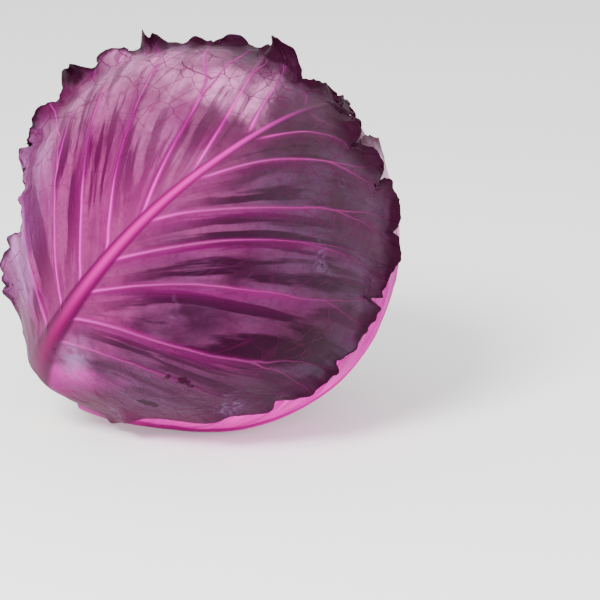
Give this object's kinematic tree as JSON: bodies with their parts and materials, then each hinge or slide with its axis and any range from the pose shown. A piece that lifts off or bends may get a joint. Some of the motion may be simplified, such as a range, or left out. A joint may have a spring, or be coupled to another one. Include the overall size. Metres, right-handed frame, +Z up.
{
  "type": "red cabbage head",
  "caption": "Whole red cabbage head lying on its side: round, with large ribbed wrapper leaves, frilled margins and a cut stem. Food prop.",
  "frame": {"origin": "middle of the small flat spot on the underside that the head rests on", "axes": "+Z up, +X the level direction in which the head's axis rises from the cut stem to the crown, -Y towards the large midrib of the outermost leaf"},
  "size_m": [0.1852, 0.177, 0.1754],
  "materials": {
    "wrapper_leaf": "waxy leaf",
    "head_leaf": "waxy leaf",
    "heart": "smooth leaf",
    "stem": "matt cut stalk"
  },
  "bodies": {
    "root": {"wrapper_leaf_1": "wrapper_leaf", "wrapper_leaf_2": "wrapper_leaf", "wrapper_leaf_3": "wrapper_leaf", "head_leaf_1": "head_leaf", "head_leaf_2": "head_leaf", "head_leaf_3": "head_leaf", "heart": "heart", "stem": "stem"}
  },
  "joints": []
}
